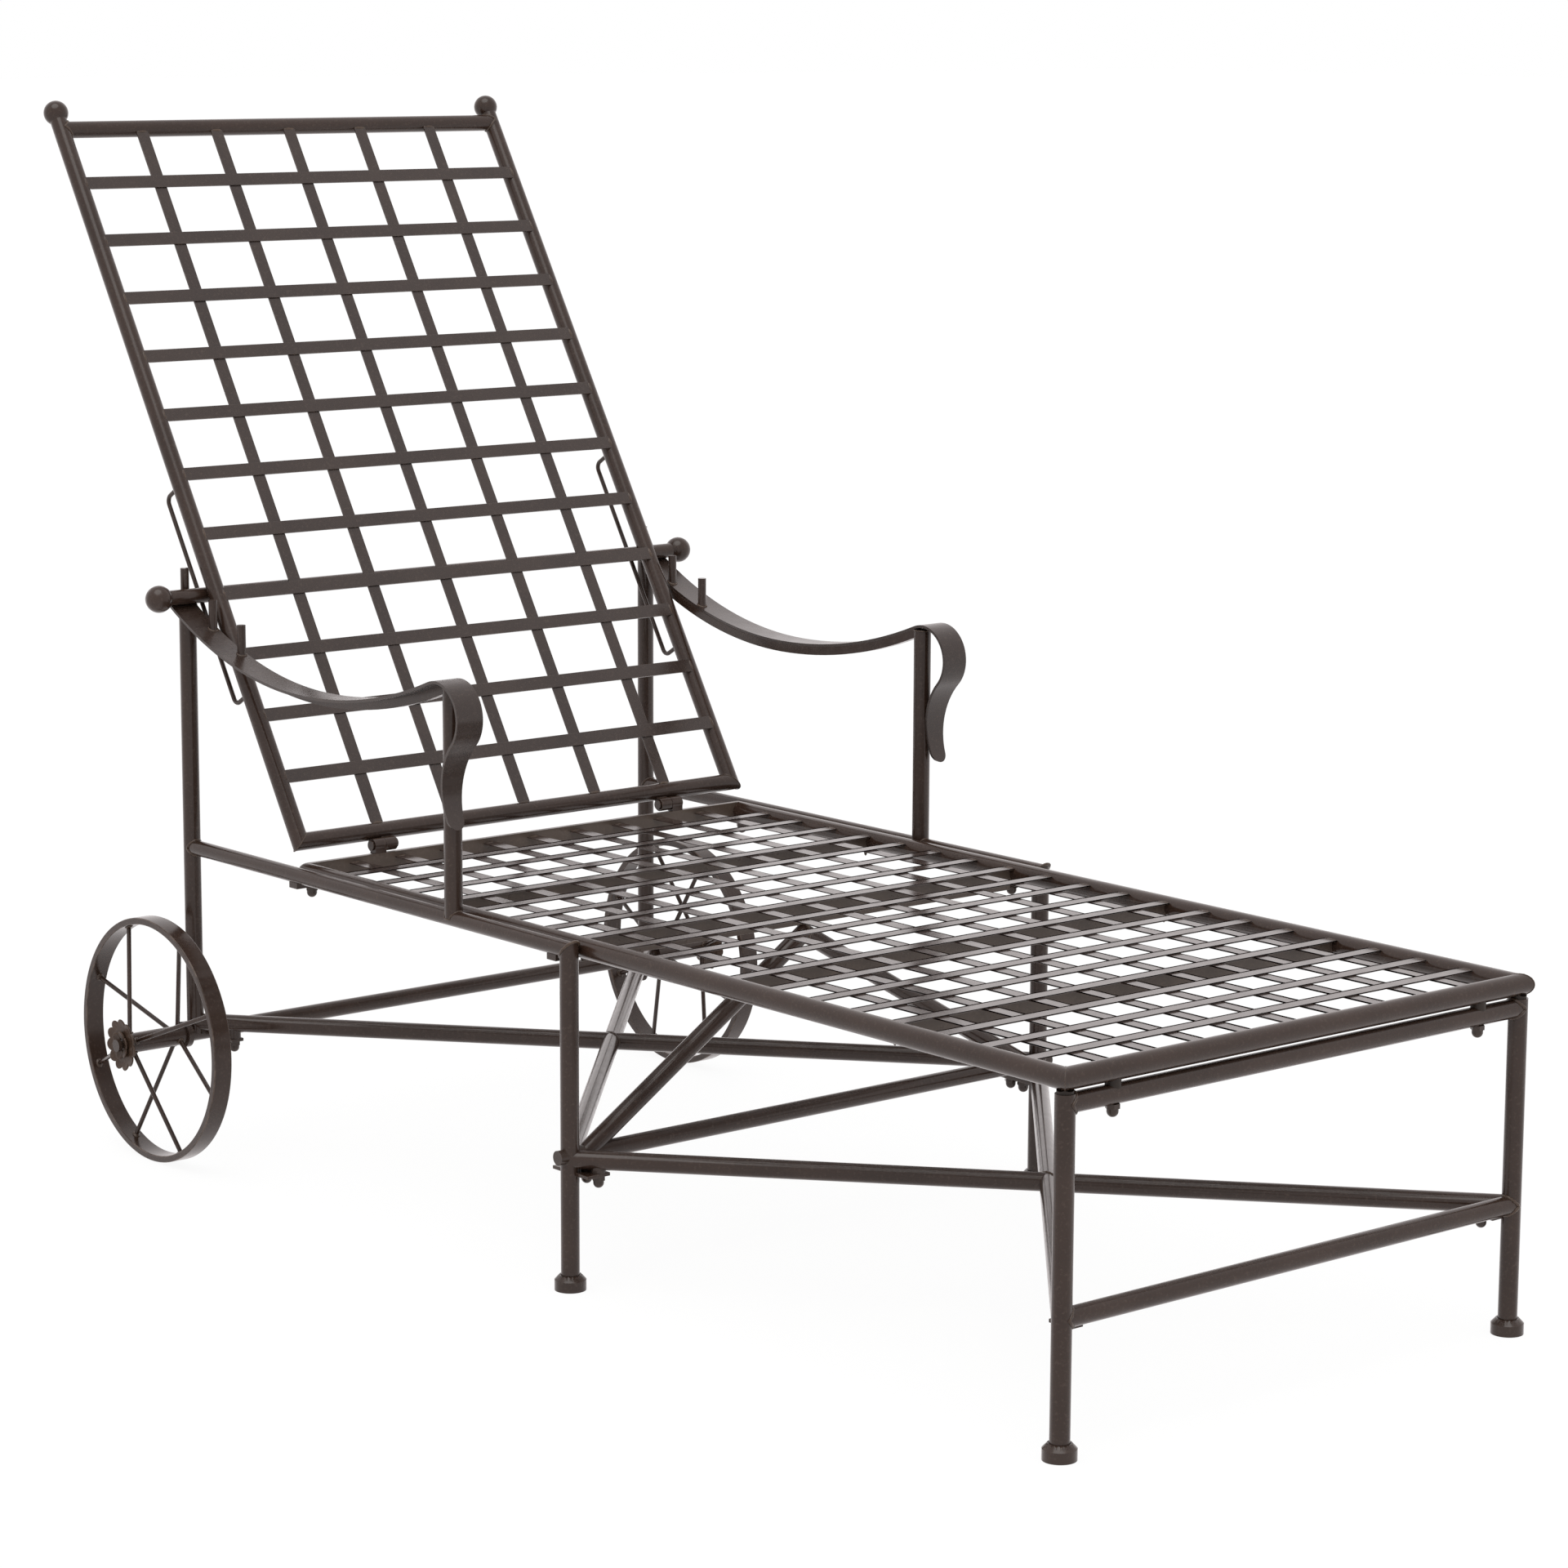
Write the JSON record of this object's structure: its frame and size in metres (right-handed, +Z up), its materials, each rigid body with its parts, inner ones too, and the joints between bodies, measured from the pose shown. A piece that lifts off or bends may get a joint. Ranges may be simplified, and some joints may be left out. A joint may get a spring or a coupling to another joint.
{
  "type": "chaise lounge",
  "caption": "Metal chaise lounge with a lattice seat, a reclining lattice back held by a rod behind pegs on scrolled arms, and a pair of spoked wheels.",
  "frame": {"origin": "on the floor, in the middle of the outline seen from above", "axes": "+X to the left of a person seated in it, +Y from the foot end to the head end, +Z up"},
  "size_m": [0.846, 1.7022, 1.1605],
  "materials": {
    "paint": "satin",
    "rosette_paint": "satin",
    "foot_paint": "satin",
    "fastener_paint": "satin",
    "dark_plastic": "matte"
  },
  "bodies": {
    "base": {"acorn_nuts": "fastener_paint", "arm_bar_left": "paint", "arm_bar_right": "paint", "arm_pegs": "paint", "arm_post_left": "paint", "arm_post_right": "paint", "arm_ribbon_left": "paint", "arm_ribbon_right": "paint", "axle": "paint", "bolt_tabs": "paint", "bolts": "fastener_paint", "front_brace_halves": "paint", "front_brace_through": "paint", "front_foot_left": "foot_paint", "front_foot_right": "foot_paint", "front_leg_left": "paint", "front_leg_right": "paint", "front_lower_rail": "paint", "front_standoffs": "dark_plastic", "front_upper_rail": "paint", "hinge_pins": "paint", "mid_brace_left": "paint", "mid_brace_right": "paint", "mid_foot_left": "foot_paint", "mid_foot_right": "foot_paint", "mid_leg_left": "paint", "mid_leg_right": "paint", "mid_stretcher": "paint", "rear_brace_halves": "paint", "rear_brace_through": "paint", "rear_post_left": "paint", "rear_post_right": "paint", "rosette_left": "rosette_paint", "rosette_right": "rosette_paint", "seat_cross_strips": "paint", "seat_front_rail": "paint", "seat_hinge_knuckles": "paint", "seat_long_strips": "paint", "seat_rail_left": "paint", "seat_rail_right": "paint", "seat_rear_bar": "paint", "seat_stiffeners": "paint", "side_rail_left": "paint", "side_rail_right": "paint"},
    "backrest": {"back_bottom_rail": "paint", "back_cross_strips": "paint", "back_finials": "paint", "back_hinge_knuckles": "paint", "back_long_strips": "paint", "back_rail_left": "paint", "back_rail_right": "paint", "back_top_rail": "paint", "rod_guide_left": "paint", "rod_guide_right": "paint"},
    "support_rod": {"support_rod": "paint", "rod_balls": "paint"},
    "wheel_left": {"wheel_rim_left": "paint", "wheel_spider_left": "paint"},
    "wheel_right": {"wheel_rim_right": "paint", "wheel_spider_right": "paint"}
  },
  "joints": [
    {"name": "back_recline", "type": "hinge", "parent": "base", "child": "backrest", "pos_m": [0, 0.3518, 0.3664], "axis": [1, 0, 0], "range_deg": [0, 55]},
    {"name": "rod_turn", "type": "hinge", "parent": "backrest", "child": "support_rod", "pos_m": [0, 0.53933, 0.62931], "axis": [1, 0, 0], "continuous": true},
    {"name": "wheel_left_turn", "type": "hinge", "parent": "base", "child": "wheel_left", "pos_m": [0.371, 0.5484, 0.137], "axis": [1, 0, 0], "continuous": true},
    {"name": "wheel_right_turn", "type": "hinge", "parent": "base", "child": "wheel_right", "pos_m": [-0.371, 0.5484, 0.137], "axis": [1, 0, 0], "continuous": true}
  ]
}
